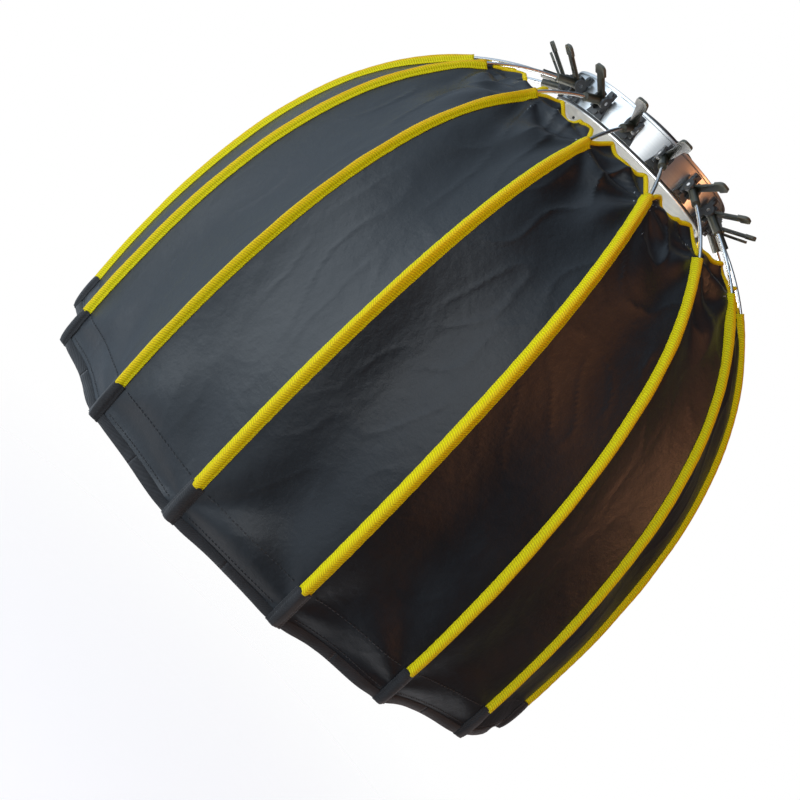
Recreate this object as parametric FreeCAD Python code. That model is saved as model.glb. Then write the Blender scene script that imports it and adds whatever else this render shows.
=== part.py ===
import FreeCAD, Part
import math
import os

# Deep parabolic quick-opening softbox on a bayonet speed ring.
# Millimetres. +Z points back to the lamp and the canopy opens towards -Z.
# The origin is the centre of the bayonet insert's rear seating face.

# ---- frame of rods ----
rod_count = 16
rod_radius = 2.0
rod_stub = 32.0
rod_arc_length = 116.0
rod_start_angle = 64.5
rod_turns = (22.5, 19.0, 12.5, 7.5, 5.0)
rod_tip_length = 30.0
tip_ball_radius = 2.6

# ---- speed ring ----
ring_radius = 110.0
ring_wall = 3.0
ring_width = 34.0
ring_bead = 1.2
plate_thickness = 3.0
plate_lip = 2.5
plate_rounding = 1.0
seat_gap = 0.4
running_gap = 0.3
fit_gap = 0.05

# ---- bayonet insert ----
bore_radius = 45.0
spigot_wall = 3.5
spigot_length = 9.0
insert_flange_radius = 66.0
insert_flange_thickness = 4.0
insert_hub_wall = 8.0
lug_count = 3
lug_height = 3.6
lug_thickness = 3.0
lug_angle = 36.0
retainer_radius = 64.0
retainer_thickness = 3.0
retainer_screw_count = 6
screw_radius = 1.5
screw_head_radius = 2.8
screw_head_height = 1.8
plate_screw_count = 8

# ---- hinge brackets and thumb levers ----
bracket_base = 2.5
bracket_rear_width = 11.0
bracket_tab = 8.0
bracket_neck = 4.0
bracket_neck_length = 2.5
bracket_front_width = 22.0
bracket_end_inset = 1.5
bracket_screw_inset = 4.0
ear_thickness = 2.8
ear_length = 20.0
ear_crown = 6.5
pin_radius = 2.0
barrel_radius = 5.5
barrel_width = 9.0
socket_wall = 2.6
socket_clearance = 0.2
socket_length = 27.0
socket_floor = 8.0
lever_angle = 25.0
lever_length = 45.0
lever_thickness = 3.0
lever_pad_width = 14.0
lever_pad_length = 12.0
lever_pad_rounding = 4.5
heel_height = 4.0

# ---- cloth ----
cloth_thickness = 1.0
cloth_offset = 0.7
cloth_split = 0.4
neck_distance = 72.0
lip_length = 40.0
gore_sag = 0.016
diffuser_recess = 36.0
diffuser_skirt = 22.0
diffuser_gap = 1.5
baffle_share = 0.56
baffle_fill = 0.66
baffle_hem = 4.0
strap_count = 8
strap_width = 18.0
strap_gap = 2.0

# ---- how finely curves are followed ----
panel_stations = 15
panel_columns = 5
search_steps = 40
tiny = 1e-9

# ---- worked out from the sizes above ----
pitch = 360.0 / rod_count
plate_rear = -insert_flange_thickness - seat_gap
plate_front = plate_rear - plate_thickness
ring_front = plate_front - ring_width
bracket_top = ring_radius + bracket_base
hinge_radius = bracket_top + running_gap + barrel_radius
bracket_middle = (plate_front + ring_front) / 2
hinge_z = bracket_middle
rod_length = rod_stub + rod_arc_length * len(rod_turns)
hub_radius = bore_radius + insert_hub_wall
retainer_rear = plate_front - seat_gap
retainer_front = retainer_rear - retainer_thickness
screw_hole_end = -insert_flange_thickness / 2
socket_radius = rod_radius + socket_wall
ear_inner = max(barrel_width / 2 + running_gap, socket_radius + socket_clearance)
ear_outer = ear_inner + ear_thickness
cloth_face = rod_radius + cloth_offset
canopy_end = rod_length + lip_length

axis = FreeCAD.Vector(0, 0, 1)
origin = FreeCAD.Vector(0, 0, 0)


def vec(x, y, z):
    """A vector from three numbers."""
    return FreeCAD.Vector(x, y, z)


def ring_solid(inner, outer, low, high):
    """A plain ring between two radii and two heights."""
    tube = Part.makeCylinder(outer, high - low, vec(0, 0, low), axis)
    return tube.cut(Part.makeCylinder(inner, high - low, vec(0, 0, low), axis))


def block(low, high):
    """A box between two corners."""
    size = high - low
    return Part.makeBox(size.x, size.y, size.z, low)


def rod_point(distance):
    """Radius, height and slope from the lens axis, along a rod from its pin."""
    angle = math.radians(rod_start_angle)
    straight = min(distance, rod_stub)
    radius = hinge_radius + straight * math.sin(angle)
    height = hinge_z - straight * math.cos(angle)
    left = distance - straight
    for turn in rod_turns:
        part = min(left, rod_arc_length)
        bend = math.radians(turn) * part / rod_arc_length
        middle = angle - bend / 2
        chord = part
        if bend > 0:
            chord = part * math.sin(bend / 2) / (bend / 2)
        radius += chord * math.sin(middle)
        height -= chord * math.cos(middle)
        angle -= bend
        left -= part
    return radius + left * math.sin(angle), height - left * math.cos(angle), angle


def rod_path(start, end):
    """Straight runs joined by tangent arcs, in the XZ plane of the first rod."""
    edges = []
    marks = [start, rod_stub]
    for index in range(len(rod_turns)):
        marks.append(rod_stub + rod_arc_length * (index + 1))
    marks.append(end)
    for low, high in zip(marks[:-1], marks[1:]):
        first, middle, last = rod_point(low), rod_point((low + high) / 2), rod_point(high)
        a, b, c = [vec(p[0], 0, p[1]) for p in (first, middle, last)]
        if abs(first[2] - last[2]) < tiny:
            edges.append(Part.LineSegment(a, c).toShape())
        else:
            edges.append(Part.Arc(a, b, c).toShape())
    return Part.Wire(edges)


def direction(angle):
    """A unit vector in the XZ plane, at an angle from straight ahead (-Z)."""
    return vec(math.sin(angle), 0, -math.cos(angle))


def place(shape, number):
    """A copy turned to the place of a numbered rod."""
    copy = shape.copy()
    copy.rotate(origin, axis, number * pitch)
    return copy


def make_rod():
    """One bowed spring-steel rod with a ball on its tip."""
    start, end = socket_floor, rod_length + rod_tip_length
    path = rod_path(start, end)
    first = rod_point(start)
    along = direction(first[2])
    section = Part.Wire([Part.Circle(vec(first[0], 0, first[1]), along, rod_radius).toShape()])
    rod = path.makePipeShell([section], True, False)
    last = rod_point(end)
    return rod.fuse(Part.makeSphere(tip_ball_radius, vec(last[0], 0, last[1])))


def make_lever():
    """Rod socket, hinge barrel, heel and thumb lever in one moulding."""
    pin = vec(hinge_radius, 0, hinge_z)
    side = vec(0, 1, 0)
    barrel = Part.makeCylinder(barrel_radius, barrel_width, pin - side * (barrel_width / 2), side)
    along = direction(math.radians(rod_start_angle))
    socket = Part.makeCylinder(socket_radius, socket_length, pin, along)
    width = barrel_width / 2
    thumb = block(vec(0, -width, -lever_thickness / 2), vec(lever_length, width, lever_thickness / 2))
    pad_start = lever_length - lever_pad_length
    pad = block(vec(pad_start, -lever_pad_width / 2, -lever_thickness / 2),
                vec(lever_length, lever_pad_width / 2, lever_thickness / 2))
    thumb = thumb.fuse(pad).removeSplitter()
    upright = [e for e in thumb.Edges if e.Length < lever_thickness + fit_gap
               and e.BoundBox.XMin > lever_length - lever_thickness]
    thumb = thumb.makeFillet(lever_pad_rounding, upright)
    thumb.rotate(origin, side, -lever_angle)
    thumb.translate(pin)
    heel_low = hinge_radius - barrel_radius
    heel_swing = screw_heights()[0] - screw_head_radius - running_gap - hinge_z
    heel_rise = math.sqrt(heel_swing ** 2 - barrel_radius ** 2)
    heel = block(vec(heel_low, -width, hinge_z), vec(heel_low + heel_height, width, hinge_z + heel_rise))
    lever = barrel.fuse([socket, thumb, heel]).removeSplitter()
    bore = Part.makeCylinder(rod_radius + fit_gap, socket_length, pin + along * socket_floor, along)
    eye = Part.makeCylinder(pin_radius + running_gap, barrel_width * 2, pin - side * barrel_width, side)
    return lever.cut(bore).cut(eye)


def make_bracket():
    """Trapezoid base plate with a square rear tab and two ears that hold the hinge pin."""
    rear = plate_front - bracket_end_inset
    front = ring_front + bracket_end_inset
    tab_end = rear - bracket_tab
    neck_end = tab_end - bracket_neck_length
    half_outline = [(bracket_tab / 2, rear), (bracket_tab / 2, tab_end),
                    (bracket_neck / 2, tab_end), (bracket_neck / 2, neck_end),
                    (bracket_rear_width / 2, neck_end), (bracket_front_width / 2, front)]
    outline = [vec(0, y, z) for y, z in half_outline]
    outline += [vec(0, -y, z) for y, z in reversed(half_outline)]
    face = Part.Face(Part.makePolygon(outline + outline[:1]))
    face.translate(vec(ring_radius - ring_wall, 0, 0))
    base = face.extrude(vec(bracket_base + ring_wall, 0, 0))
    middle = vec(hinge_radius, 0, hinge_z)
    for side in (-1, 1):
        near, far = sorted((side * ear_inner, side * ear_outer))
        ear = block(vec(bracket_top - fit_gap, near, hinge_z - ear_length / 2),
                    vec(hinge_radius, far, hinge_z + ear_length / 2))
        crown = Part.makeCylinder(ear_crown, far - near, vec(middle.x, near, middle.z), vec(0, 1, 0))
        base = base.fuse([ear, crown])
    base = base.cut(Part.makeCylinder(ring_radius + fit_gap, ring_width * 2,
                                      vec(0, 0, ring_front - ring_width / 2), axis))
    hole = Part.makeCylinder(pin_radius + fit_gap, bracket_front_width,
                             middle - vec(0, bracket_front_width / 2, 0), vec(0, 1, 0))
    base = base.cut(hole)
    for height in screw_heights():
        near = ring_radius - ring_wall * 2
        base = base.cut(radial_cylinder(screw_radius + fit_gap, near, hinge_radius, height))
    return base.removeSplitter()


def radial_cylinder(radius, near, far, height):
    """A cylinder lying along a radius at the first rod's place."""
    return Part.makeCylinder(radius, far - near, vec(near, 0, height), vec(1, 0, 0))


def screw_heights():
    """Heights of the two screws that hold each bracket."""
    return (plate_front - bracket_end_inset - bracket_screw_inset,
            ring_front + bracket_end_inset + bracket_screw_inset)


def make_bracket_screw(height):
    """One pan-head screw through a bracket base and the ring's wall."""
    shank = radial_cylinder(screw_radius, ring_radius - ring_wall - screw_radius, bracket_top, height)
    head = radial_cylinder(screw_head_radius, bracket_top, bracket_top + screw_head_height, height)
    return shank.fuse(head)


def make_hinge_pin():
    """One hinge pin, flush with the outside of both ears."""
    end = vec(hinge_radius, -ear_outer, hinge_z)
    return Part.makeCylinder(pin_radius, ear_outer * 2, end, vec(0, 1, 0))


def axial_screws(count, circle, seat, depth):
    """Pan-head screws on a circle, heads at the front, shanks running back."""
    screws = []
    for index in range(count):
        turn = 2 * math.pi * (index + 0.5) / count
        spot = vec(circle * math.cos(turn), circle * math.sin(turn), seat)
        front = spot - axis * screw_head_height
        head = Part.makeCylinder(screw_head_radius, screw_head_height, front, axis)
        screws.append(head.fuse(Part.makeCylinder(screw_radius, depth, spot, axis)))
    return screws


def axial_holes(count, circle, low, high):
    """Clearance holes for axial screws."""
    holes = []
    for index in range(count):
        turn = 2 * math.pi * (index + 0.5) / count
        spot = vec(circle * math.cos(turn), circle * math.sin(turn), low)
        holes.append(Part.makeCylinder(screw_radius + fit_gap, high - low, spot, axis))
    return holes


def retainer_circle():
    """Radius of the circle of retainer screws, in the middle of the insert's hub."""
    return (bore_radius + hub_radius) / 2


def make_insert():
    """Bayonet insert: rear spigot with lugs, seating flange and turning hub."""
    reach = bore_radius + spigot_wall
    spigot = ring_solid(bore_radius, reach, -insert_flange_thickness, spigot_length)
    flange = ring_solid(bore_radius, insert_flange_radius, -insert_flange_thickness, 0)
    hub = ring_solid(bore_radius, hub_radius, retainer_rear, 0)
    insert = spigot.fuse([flange, hub])
    lug_rear = spigot_length - lug_thickness
    lug = ring_solid(reach - spigot_wall / 2, reach + lug_height, lug_rear, spigot_length)
    half = math.radians(lug_angle / 2)
    across, aside = reach * 2 * math.cos(half), reach * 2 * math.sin(half)
    corners = [origin, vec(across, -aside, 0), vec(across, aside, 0), origin]
    wedge = Part.Face(Part.makePolygon(corners))
    lug = lug.common(wedge.extrude(axis * spigot_length * 2))
    for index in range(lug_count):
        turned = lug.copy()
        turned.rotate(origin, axis, index * 360.0 / lug_count)
        insert = insert.fuse(turned)
    holes = axial_holes(retainer_screw_count, retainer_circle(), retainer_rear, screw_hole_end)
    return insert.removeSplitter().cut(Part.makeCompound(holes))


def make_retainer():
    """Ring screwed to the insert's hub, which keeps the back plate on it."""
    ring = ring_solid(bore_radius, retainer_radius, retainer_front, retainer_rear)
    holes = axial_holes(retainer_screw_count, retainer_circle(), retainer_front, retainer_rear)
    return ring.cut(Part.makeCompound(holes))


def plate_circle():
    """Radius of the circle of screws between the back plate and the ring."""
    return ring_radius - ring_wall - screw_head_radius * 2


def make_back_plate():
    """Pressed disc that turns on the insert's hub and carries the ring."""
    plate = ring_solid(hub_radius + running_gap, ring_radius + plate_lip, plate_front, plate_rear)
    rim = [e for e in plate.Edges
           if e.BoundBox.XMax > ring_radius and e.BoundBox.ZMin > plate_rear - fit_gap]
    plate = plate.makeFillet(plate_rounding, rim)
    holes = axial_holes(plate_screw_count, plate_circle(), plate_front, plate_rear)
    return plate.cut(Part.makeCompound(holes))


def make_speed_ring():
    """Bright band with a rolled front bead and an inside flange at the rear."""
    band = ring_solid(ring_radius - ring_wall, ring_radius, ring_front, plate_front)
    flange_inner = plate_circle() - screw_head_radius * 2
    flange = ring_solid(flange_inner, ring_radius - ring_wall, plate_front - ring_wall, plate_front)
    middle, bead_radius = ring_radius - ring_wall / 2, ring_bead + ring_wall / 2
    bead = Part.makeTorus(middle, bead_radius, vec(0, 0, ring_front), axis)
    low, high = ring_front - ring_wall * 2, ring_front + ring_wall * 2
    bead = bead.cut(ring_solid(ring_radius, ring_radius * 2, low, high))
    band = band.fuse([flange, bead]).removeSplitter()
    holes = axial_holes(plate_screw_count, plate_circle(), plate_front - ring_wall, plate_front)
    for number in range(rod_count):
        for height in screw_heights():
            near = ring_radius - ring_wall * 2
            hole = radial_cylinder(screw_radius + fit_gap, near, ring_radius * 2, height)
            holes.append(place(hole, number))
    return band.cut(Part.makeCompound(holes))


def cloth_point(distance, share, depth):
    """A canopy point: distance along the rod, share of the half gore, depth inside."""
    radius, height, angle = rod_point(distance)
    half = math.pi / rod_count
    turn = half * share
    limit = half - math.asin(cloth_split / 2 / radius)
    turn = max(-limit, min(limit, turn))
    flat = radius * (1 - math.cos(half) / math.cos(half - abs(turn)))
    flat += gore_sag * radius * math.sin(math.pi * abs(share) / 2)
    inward = cloth_face + depth + flat * math.cos(angle)
    radius -= inward * math.cos(angle)
    height -= inward * math.sin(angle)
    return vec(radius * math.cos(turn), radius * math.sin(turn), height)


def make_panel():
    """The canopy cloth carried by one rod, out to the middle of each gore."""
    spacing = (canopy_end - neck_distance) / (panel_stations - 1)
    steps = [neck_distance + spacing * i for i in range(panel_stations)]
    faces = []
    for side in (-1, 1):
        shares = [side * j / (panel_columns - 1) for j in range(panel_columns)]
        skins = []
        for depth in (0, cloth_thickness):
            surface = Part.BSplineSurface()
            surface.interpolate([[cloth_point(s, share, depth) for share in shares] for s in steps])
            skins.append(surface.toShape())
        faces.extend(skins)
        for edge in (0, 1, 2, 3):
            outer, inner = skins[0].Edges[edge], skins[1].Edges[edge]
            if edge_on_rod(outer):
                continue
            faces.append(Part.makeRuledSurface(outer, inner))
    shell = Part.makeShell(faces)
    shell.sewShape()
    solid = Part.makeSolid(shell)
    if solid.Volume < 0:
        solid.reverse()
    return solid


def edge_on_rod(edge):
    """Whether a panel edge lies in the plane of its rod."""
    box = edge.BoundBox
    return abs(box.YMin) < fit_gap and abs(box.YMax) < fit_gap


def polygon_plate(radius, low, high):
    """A flat plate with one corner at each rod."""
    corners = []
    for number in range(rod_count):
        angle = math.radians(pitch * number)
        corners.append(vec(radius * math.cos(angle), radius * math.sin(angle), low))
    return Part.Face(Part.makePolygon(corners + corners[:1])).extrude(axis * (high - low))


def diffuser_radius():
    """Corner radius of the front cloth, clear of the sagging gores all round."""
    middle = cloth_point(rod_length - diffuser_skirt, 1, cloth_thickness)
    return (math.hypot(middle.x, middle.y) - diffuser_gap) / math.cos(math.pi / rod_count)


def make_diffuser():
    """Front diffuser: a stretched cloth with a skirt that sticks inside the lip."""
    front = rod_point(canopy_end)[1] + diffuser_recess
    radius = diffuser_radius()
    rear = front + diffuser_skirt
    cup = polygon_plate(radius, front, rear)
    hollow = polygon_plate(radius - cloth_thickness * 2, front + cloth_thickness, rear)
    return cup.cut(hollow)


def baffle_place():
    """Height and radius of the inner baffle."""
    radius, height, angle = rod_point(rod_length * baffle_share)
    return height, radius * baffle_fill


def make_baffle():
    """Inner baffle: a smaller cloth disc with a thick hem."""
    height, radius = baffle_place()
    low, high = height - cloth_thickness, height + cloth_thickness * 2
    disc = polygon_plate(radius, height, height + cloth_thickness)
    hem = polygon_plate(radius, low, high).cut(polygon_plate(radius - baffle_hem, low, high))
    return disc.fuse(hem).removeSplitter()


def strap_reach(height):
    """Radius of the lining at one rod, at a height."""
    low, high = neck_distance, canopy_end
    for _ in range(search_steps):
        middle = (low + high) / 2
        if cloth_point(middle, 0, cloth_thickness).z > height:
            low = middle
        else:
            high = middle
    return cloth_point(low, 0, cloth_thickness).x


def make_strap():
    """One elastic strap from the baffle's hem to the lining at a rod."""
    height, radius = baffle_place()
    half = math.radians(pitch / 2)
    corner = strap_width / 2 * math.tan(half)
    near = radius + corner + fit_gap
    top = height + cloth_thickness
    reach = strap_reach(top) - strap_gap - strap_width * math.tan(half)
    return block(vec(near, -strap_width / 2, height), vec(reach, strap_width / 2, top))


def export(name, solids):
    """Write one sub-part as its own file."""
    shape = solids[0] if len(solids) == 1 else Part.makeCompound(solids)
    shape.exportStep(os.path.join("parts", name + ".step"))


def around(shape, count=rod_count):
    """Copies of a shape at every rod, or at evenly spaced rods."""
    return [place(shape, number * rod_count // count) for number in range(count)]


def main():
    """Make and export every sub-part."""
    os.makedirs("parts", exist_ok=True)
    export("bayonet_insert", [make_insert()])
    export("ring_retainer", [make_retainer()])
    depth = screw_hole_end - fit_gap - retainer_front
    export("retainer_screws",
           axial_screws(retainer_screw_count, retainer_circle(), retainer_front, depth))
    export("back_plate", [make_back_plate()])
    export("speed_ring", [make_speed_ring()])
    depth = ring_wall + plate_thickness - fit_gap
    export("plate_screws",
           axial_screws(plate_screw_count, plate_circle(), plate_front - ring_wall, depth))
    export("hinge_brackets", around(make_bracket()))
    screws = []
    for height in screw_heights():
        screws.extend(around(make_bracket_screw(height)))
    export("bracket_screws", screws)
    export("hinge_pins", around(make_hinge_pin()))
    export("front_diffuser", [make_diffuser()])
    export("inner_baffle", [make_baffle()])
    export("baffle_straps", around(make_strap(), strap_count))
    rod, lever, panel = make_rod(), make_lever(), make_panel()
    for number in range(rod_count):
        label = "%02d" % (number + 1)
        export("rod_" + label, [place(rod, number)])
        export("lever_" + label, [place(lever, number)])
        export("canopy_panel_" + label, [place(panel, number)])


main()
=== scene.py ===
import logging
import math
from collections.abc import Callable
from dataclasses import dataclass
from enum import Enum

import bpy
import numpy as np
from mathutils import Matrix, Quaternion, Vector


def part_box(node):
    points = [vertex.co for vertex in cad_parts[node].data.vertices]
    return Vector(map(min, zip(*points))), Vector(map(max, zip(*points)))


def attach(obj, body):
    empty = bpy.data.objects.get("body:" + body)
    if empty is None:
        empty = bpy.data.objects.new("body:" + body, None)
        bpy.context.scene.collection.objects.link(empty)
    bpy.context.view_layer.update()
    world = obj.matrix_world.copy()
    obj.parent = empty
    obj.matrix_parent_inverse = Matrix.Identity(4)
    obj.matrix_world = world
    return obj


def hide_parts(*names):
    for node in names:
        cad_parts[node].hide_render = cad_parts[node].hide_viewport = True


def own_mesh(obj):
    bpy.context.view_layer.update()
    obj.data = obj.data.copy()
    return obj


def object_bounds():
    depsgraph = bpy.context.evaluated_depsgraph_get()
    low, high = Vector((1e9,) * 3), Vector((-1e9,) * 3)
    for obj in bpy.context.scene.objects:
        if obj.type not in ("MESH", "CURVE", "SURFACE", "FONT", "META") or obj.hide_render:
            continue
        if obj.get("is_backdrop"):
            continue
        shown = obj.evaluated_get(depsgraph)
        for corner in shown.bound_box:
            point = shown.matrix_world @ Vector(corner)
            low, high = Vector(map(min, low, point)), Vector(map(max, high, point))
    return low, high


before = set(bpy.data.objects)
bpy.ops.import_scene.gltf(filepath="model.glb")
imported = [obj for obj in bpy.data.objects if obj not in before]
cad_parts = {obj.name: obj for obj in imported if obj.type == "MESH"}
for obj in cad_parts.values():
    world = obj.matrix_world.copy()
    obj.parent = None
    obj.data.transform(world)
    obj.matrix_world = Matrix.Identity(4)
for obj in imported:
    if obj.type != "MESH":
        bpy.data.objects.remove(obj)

log = logging.getLogger("softbox")
logging.basicConfig(level=logging.INFO, format="%(message)s")

Triple = tuple[float, float, float]
Pair = tuple[float, float]
Material = bpy.types.Material
Piece = bpy.types.Object

ROD_COUNT = 16
PITCH = 2 * math.pi / ROD_COUNT


# ---------------------------------------------------------------- shader toolkit

class Blend(Enum):
    """How two colours are laid over each other."""
    MIX = "MIX"
    ADD = "ADD"


class Signal:
    """One shader value or vector that plain arithmetic builds nodes from."""

    def __init__(self, graph: "Graph", socket: bpy.types.NodeSocket) -> None:
        """Keep the graph and the output socket."""
        self.graph = graph
        self.socket = socket

    def math(self, operation: str, *others: object) -> "Signal":
        """A Math node with this value first.

        Args:
            operation: Blender's name of the operation.
            others: the further operands, values or signals.

        Returns:
            The node's result.
        """
        return self.graph.node("ShaderNodeMath", {"operation": operation}, dict(enumerate((self, *others))))

    def __add__(self, other: object) -> "Signal":
        """Sum."""
        return self.math("ADD", other)

    def __radd__(self, other: object) -> "Signal":
        """Sum, reflected."""
        return self.math("ADD", other)

    def __sub__(self, other: object) -> "Signal":
        """Difference."""
        return self.math("SUBTRACT", other)

    def __rsub__(self, other: object) -> "Signal":
        """Difference, reflected."""
        return self.graph.value(other).math("SUBTRACT", self)

    def __mul__(self, other: object) -> "Signal":
        """Product."""
        return self.math("MULTIPLY", other)

    def __rmul__(self, other: object) -> "Signal":
        """Product, reflected."""
        return self.math("MULTIPLY", other)

    def __truediv__(self, other: object) -> "Signal":
        """Quotient."""
        return self.math("DIVIDE", other)

    def __rtruediv__(self, other: object) -> "Signal":
        """Quotient, reflected."""
        return self.graph.value(other).math("DIVIDE", self)

    def wave(self) -> "Signal":
        """A sine wave from 0 to 1 whose period is 1."""
        return (self * (2 * math.pi)).math("SINE") * 0.5 + 0.5

    def between(self, low: float, high: float, out_low: float = 0.0, out_high: float = 1.0) -> "Signal":
        """This value moved smoothly from one range to another.

        Args:
            low: the value that gives out_low.
            high: the value that gives out_high.
            out_low: the result at low.
            out_high: the result at high.

        Returns:
            The clamped, smoothed value.
        """
        settings = {"interpolation_type": "SMOOTHSTEP"}
        inputs = {"Value": self, "From Min": low, "From Max": high, "To Min": out_low, "To Max": out_high}
        return self.graph.node("ShaderNodeMapRange", settings, inputs, "Result")


class Graph:
    """The node tree of one new material."""

    def __init__(self, name: str) -> None:
        """Start an empty material with its shader and output.

        Args:
            name: the material's name.
        """
        self.material = bpy.data.materials.new(name)
        self.material.use_nodes = True
        self.tree = self.material.node_tree
        self.tree.nodes.clear()
        self.shader = self.tree.nodes.new("ShaderNodeBsdfPrincipled")
        output = self.tree.nodes.new("ShaderNodeOutputMaterial")
        self.tree.links.new(self.shader.outputs[0], output.inputs[0])

    @classmethod
    def over(cls, tree: bpy.types.NodeTree) -> "Graph":
        """A graph over an existing tree, emptied first.

        Args:
            tree: the node tree to build in.

        Returns:
            The graph, which has no material of its own.
        """
        graph = cls.__new__(cls)
        graph.tree = tree
        tree.nodes.clear()
        return graph

    def connect(self, value: object, target: bpy.types.NodeSocket) -> None:
        """Link a signal to a socket, or set the socket to a plain value.

        Args:
            value: a signal, a colour or a number.
            target: the socket it goes to.
        """
        if isinstance(value, Signal):
            self.tree.links.new(value.socket, target)
        elif isinstance(value, tuple) and target.type == "RGBA":
            target.default_value = (*value, 1.0)
        else:
            target.default_value = value

    def node(self, kind: str, settings: dict | None = None, inputs: dict | None = None,
             output: str | int = 0) -> Signal:
        """Any node.

        Args:
            kind: Blender's node type.
            settings: the node's own options, set first.
            inputs: values or signals, by socket name or number.
            output: the output to hand back.

        Returns:
            The chosen output.
        """
        made = self.tree.nodes.new(kind)
        for key, value in (settings or {}).items():
            setattr(made, key, value)
        for key, value in (inputs or {}).items():
            self.connect(value, made.inputs[key])
        return Signal(self, made.outputs[output])

    def value(self, number: float) -> Signal:
        """A constant.

        Args:
            number: the constant.

        Returns:
            The constant as a signal.
        """
        made = self.tree.nodes.new("ShaderNodeValue")
        made.outputs[0].default_value = number
        return Signal(self, made.outputs[0])

    def mix(self, factor: object, first: object, second: object, blend: Blend = Blend.MIX) -> Signal:
        """Two colours mixed by a factor.

        Args:
            factor: share of the second colour.
            first: first colour.
            second: second colour.
            blend: how the second is laid over the first.

        Returns:
            The mixed colour.
        """
        made = self.tree.nodes.new("ShaderNodeMix")
        made.data_type = "RGBA"
        made.blend_type = blend.value
        for socket, value in ((made.inputs[0], factor), (made.inputs[6], first), (made.inputs[7], second)):
            self.connect(value, socket)
        return Signal(self, made.outputs[2])

    def place(self) -> Signal:
        """The point in the object's own frame, in metres."""
        return self.node("ShaderNodeTexCoord", output="Object")

    def split(self, vector: Signal, axis: str) -> Signal:
        """One component of a vector."""
        return self.node("ShaderNodeSeparateXYZ", None, {0: vector}, axis)

    def weave(self) -> tuple[Signal, Signal]:
        """How far across and along a sewn part a point lies, in metres."""
        weave_at = self.node("ShaderNodeUVMap", {"uv_map": "weave"})
        return self.split(weave_at, "X"), self.split(weave_at, "Y")

    def reach(self, place: Signal) -> Signal:
        """Distance from the lens axis."""
        flat = self.stretch(place, (1.0, 1.0, 0.0))
        return self.node("ShaderNodeVectorMath", {"operation": "LENGTH"}, {0: flat}, "Value")

    def stretch(self, vector: Signal, scale: Triple) -> Signal:
        """A vector scaled along each axis."""
        return self.node("ShaderNodeVectorMath", {"operation": "MULTIPLY"}, {0: vector, 1: scale})

    def noise(self, vector: Signal, scale: float, detail: float = 4.0, roughness: float = 0.55) -> Signal:
        """Soft noise between 0 and 1."""
        return self.node("ShaderNodeTexNoise", None,
                         {"Vector": vector, "Scale": scale, "Detail": detail, "Roughness": roughness})

    def bump(self, height: Signal, strength: float, distance: float, under: Signal | None = None) -> Signal:
        """A bumped normal, laid over another if one is given.

        Args:
            height: relief from 0 to 1.
            strength: how strongly it shows.
            distance: its depth in metres.
            under: a normal that it is laid over.

        Returns:
            The bumped normal.
        """
        inputs = {"Height": height, "Strength": strength, "Distance": distance}
        if under is not None:
            inputs["Normal"] = under
        return self.node("ShaderNodeBump", None, inputs)

    def finish(self, **sockets: object) -> Material:
        """Set the shader's sockets, with _ for a space in their names, and hand back the material.

        Args:
            sockets: values or signals by the socket's name.

        Returns:
            The material.
        """
        for key, value in sockets.items():
            self.connect(value, self.shader.inputs[key.replace("_", " ")])
        return self.material


# ---------------------------------------------------------------- finishes

@dataclass(frozen=True)
class CoatedNylon:
    """Black coated nylon: fine weave, soft sheen, slightly patchy in tone."""
    name: str = "black_nylon"
    deep: Triple = (0.0030, 0.0042, 0.0060)
    pale: Triple = (0.0068, 0.0090, 0.0118)
    roughness: float = 0.37
    thread: float = 0.00075
    patches: float = 9.0
    grain: float = 160.0
    crinkles: float = 55.0
    crinkle_depth: float = 0.004
    weave_depth: float = 0.0003

    def make(self) -> Material:
        """Build the material.

        Returns:
            The material.
        """
        g = Graph(self.name)
        across, along = g.weave()
        warp = (across / self.thread).wave()
        weft = (along / self.thread).wave()
        cloudy = g.noise(g.place(), self.patches, 3.0)
        fine = g.noise(g.stretch(g.place(), (1.0, 1.0, 0.35)), self.grain, 3.0)
        tone = (cloudy * 0.75 + fine * 0.35).between(0.30, 0.80)
        base = g.mix(tone, self.deep, self.pale)
        crinkle = g.bump(g.noise(g.place(), self.crinkles, 5.0, 0.6), 0.22, self.crinkle_depth)
        weave = g.bump(warp * weft, 0.10, self.weave_depth, crinkle)
        rough = cloudy * 0.16 + (self.roughness - 0.06)
        return g.finish(Base_Color=base, Roughness=rough, Normal=weave, Specular_IOR_Level=0.52,
                        Sheen_Weight=0.04, Sheen_Roughness=0.45)


@dataclass(frozen=True)
class SilverLining:
    """Silver coated lining with a pebbled, crinkled face."""
    name: str = "silver_lining"
    bright: Triple = (0.80, 0.81, 0.82)
    dull: Triple = (0.58, 0.59, 0.61)
    pebbles: float = 420.0
    patches: float = 14.0
    crinkle_depth: float = 0.006
    pebble_depth: float = 0.0006

    def make(self) -> Material:
        """Build the material.

        Returns:
            The material.
        """
        g = Graph(self.name)
        pebble = g.node("ShaderNodeTexVoronoi", None, {"Vector": g.place(), "Scale": self.pebbles},
                        "Distance")
        cloudy = g.noise(g.place(), self.patches, 5.0)
        base = g.mix(cloudy.between(0.3, 0.7), self.dull, self.bright)
        crinkle = g.bump(cloudy, 0.35, self.crinkle_depth)
        return g.finish(Base_Color=base, Metallic=0.35, Roughness=cloudy * 0.15 + 0.40,
                        Normal=g.bump(pebble, 0.35, self.pebble_depth, crinkle))


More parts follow.
